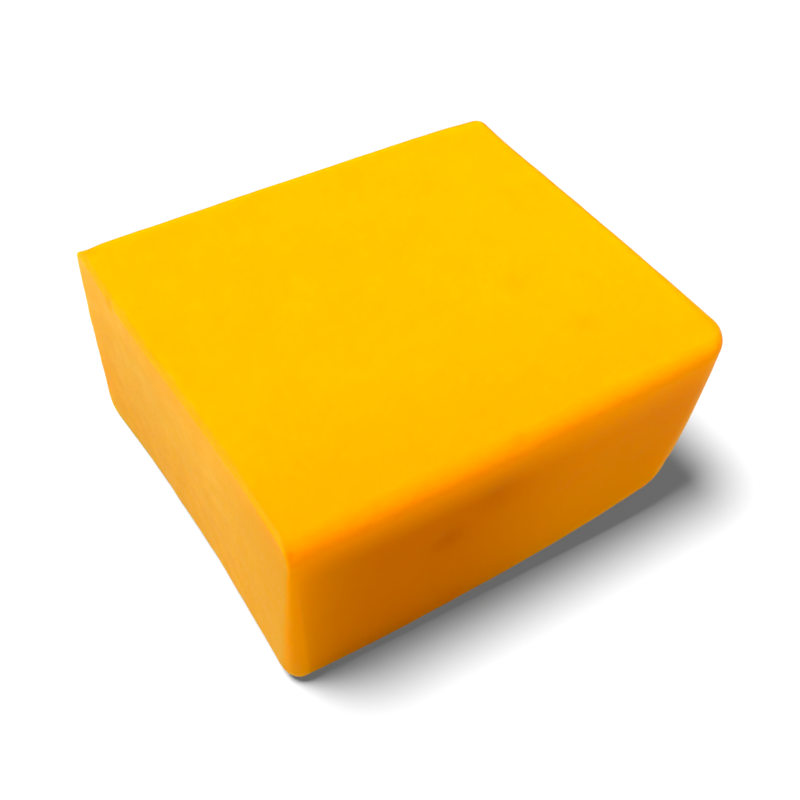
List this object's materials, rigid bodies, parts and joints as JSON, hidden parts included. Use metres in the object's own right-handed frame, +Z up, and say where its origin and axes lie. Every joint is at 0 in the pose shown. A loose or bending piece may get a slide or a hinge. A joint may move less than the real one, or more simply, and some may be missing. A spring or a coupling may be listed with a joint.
{
  "type": "cheddar cheese block",
  "caption": "Chunk of orange cheddar: a low rectangular block with a crisp fresh-cut end, softly rounded outer edges and a flat base to rest on.",
  "frame": {"origin": "middle of the footprint, on the surface that the chunk rests on", "axes": "+Z up, square to the flat base; +X along the long side, away from the fresh-cut end; +Y from the front to the back"},
  "size_m": [0.1026, 0.0876, 0.0504],
  "materials": {
    "cheddar": "smooth, slightly waxy and faintly translucent deep yellow-orange cheese, paler on the fresh-cut end"
  },
  "bodies": {
    "root": {"cheddar_block": "cheddar"}
  },
  "joints": []
}
